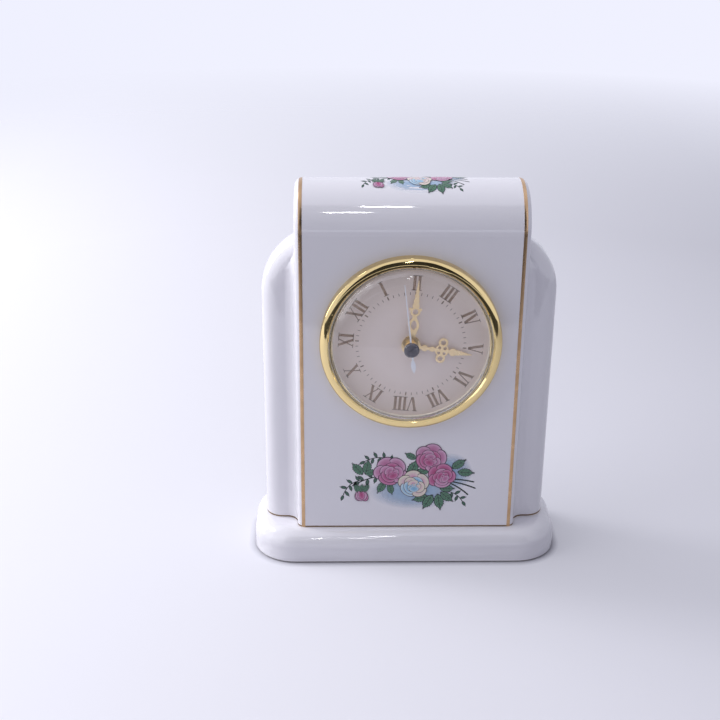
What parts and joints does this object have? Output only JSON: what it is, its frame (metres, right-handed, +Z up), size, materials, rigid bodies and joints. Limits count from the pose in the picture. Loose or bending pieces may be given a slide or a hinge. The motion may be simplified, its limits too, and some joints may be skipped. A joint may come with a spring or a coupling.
{
  "type": "mantel clock",
  "caption": "Glazed ceramic mantel clock: roll-top pylon between round-shouldered wings on a bullnosed plinth, with a press-in quartz insert that turns in its hole.",
  "frame": {"origin": "on the table, under the middle of the clock's whole width and depth", "axes": "+Z up, dial facing -Y, +X to the right as seen from the front"},
  "size_m": [0.16, 0.0666, 0.1985],
  "materials": {
    "glaze": "gloss white glaze",
    "gilt": "polished gold-coloured",
    "clear": "clear, polished",
    "dial": "satin ivory",
    "black_resin": "satin moulded",
    "black_rubber": "matt",
    "grey_resin": "satin moulded",
    "white_hand": "satin white",
    "dark_cap": "gloss",
    "acetal": "natural moulded",
    "magnet": "sintered, dull",
    "soft_iron": "pressed sheet",
    "copper_wire": "enamelled wire",
    "board": "green lacquer",
    "nickel": "nickel plated",
    "cell": "plain sleeve"
  },
  "bodies": {
    "case": {"case_body": "glaze"},
    "insert": {"bezel": "gilt", "lens": "clear", "spacer_ring": "gilt", "dial_plate": "dial", "insert_cup": "black_resin", "grip_ring": "black_rubber", "housing_front": "black_resin", "housing_back": "black_resin", "train_plate": "grey_resin", "fixing_nut": "gilt", "stator": "soft_iron", "coil_bobbin": "acetal", "coil_winding": "copper_wire", "circuit_board": "board", "quartz_crystal": "nickel", "battery": "cell", "contact_positive": "nickel", "contact_negative": "nickel"},
    "seconds": {"seconds_wheel": "acetal", "second_hand": "white_hand", "centre_cap": "dark_cap"},
    "minutes": {"cannon_pinion": "acetal", "minute_hand": "gilt"},
    "hours": {"hour_wheel": "acetal", "hour_hand": "gilt"},
    "minute_work": {"minute_wheel": "acetal"},
    "centre": {"centre_wheel": "acetal"},
    "third": {"third_wheel": "acetal"},
    "intermediate": {"intermediate_wheel": "acetal"},
    "motor": {"rotor": "magnet"},
    "setting": {"setting_knob": "black_resin"}
  },
  "joints": [
    {"name": "insert_turn", "type": "hinge", "parent": "case", "child": "insert", "pos_m": [0, -0.0197, 0.122], "axis": [0, 1, 0], "continuous": true},
    {"name": "second_spin", "type": "hinge", "parent": "insert", "child": "seconds", "pos_m": [0, -0.0101, 0.122], "axis": [0, 1, 0], "continuous": true},
    {"name": "third_spin", "type": "hinge", "parent": "insert", "child": "third", "pos_m": [-0.0081, -0.0132, 0.11808], "axis": [0, 1, 0], "continuous": true},
    {"name": "centre_spin", "type": "hinge", "parent": "insert", "child": "centre", "pos_m": [0, -0.015, 0.122], "axis": [0, 1, 0], "continuous": true},
    {"name": "intermediate_spin", "type": "hinge", "parent": "insert", "child": "intermediate", "pos_m": [-0.00381, -0.0068, 0.12988], "axis": [0, 1, 0], "continuous": true},
    {"name": "rotor_spin", "type": "hinge", "parent": "insert", "child": "motor", "pos_m": [-0.00844, -0.0087, 0.1363], "axis": [0, 1, 0], "continuous": true},
    {"name": "minute_spin", "type": "hinge", "parent": "insert", "child": "minutes", "pos_m": [0, -0.0163, 0.122], "axis": [0, 1, 0], "continuous": true},
    {"name": "minute_wheel_spin", "type": "hinge", "parent": "insert", "child": "minute_work", "pos_m": [0.0054, -0.0163, 0.12994], "axis": [0, 1, 0], "continuous": true},
    {"name": "hour_spin", "type": "hinge", "parent": "insert", "child": "hours", "pos_m": [0, -0.0176, 0.122], "axis": [0, 1, 0], "continuous": true},
    {"name": "setting_spin", "type": "hinge", "parent": "insert", "child": "setting", "pos_m": [0.01181, -0.0017, 0.13654], "axis": [0, 1, 0], "continuous": true}
  ],
  "couplings": [
    {"joint": "third_spin", "follows": "second_spin", "ratio": -0.13333},
    {"joint": "centre_spin", "follows": "second_spin", "ratio": 0.016667},
    {"joint": "intermediate_spin", "follows": "second_spin", "ratio": -6},
    {"joint": "rotor_spin", "follows": "second_spin", "ratio": 30},
    {"joint": "minute_wheel_spin", "follows": "minute_spin", "ratio": -0.33333},
    {"joint": "hour_spin", "follows": "minute_spin", "ratio": 0.083333},
    {"joint": "setting_spin", "follows": "minute_spin", "ratio": 1.2}
  ]
}
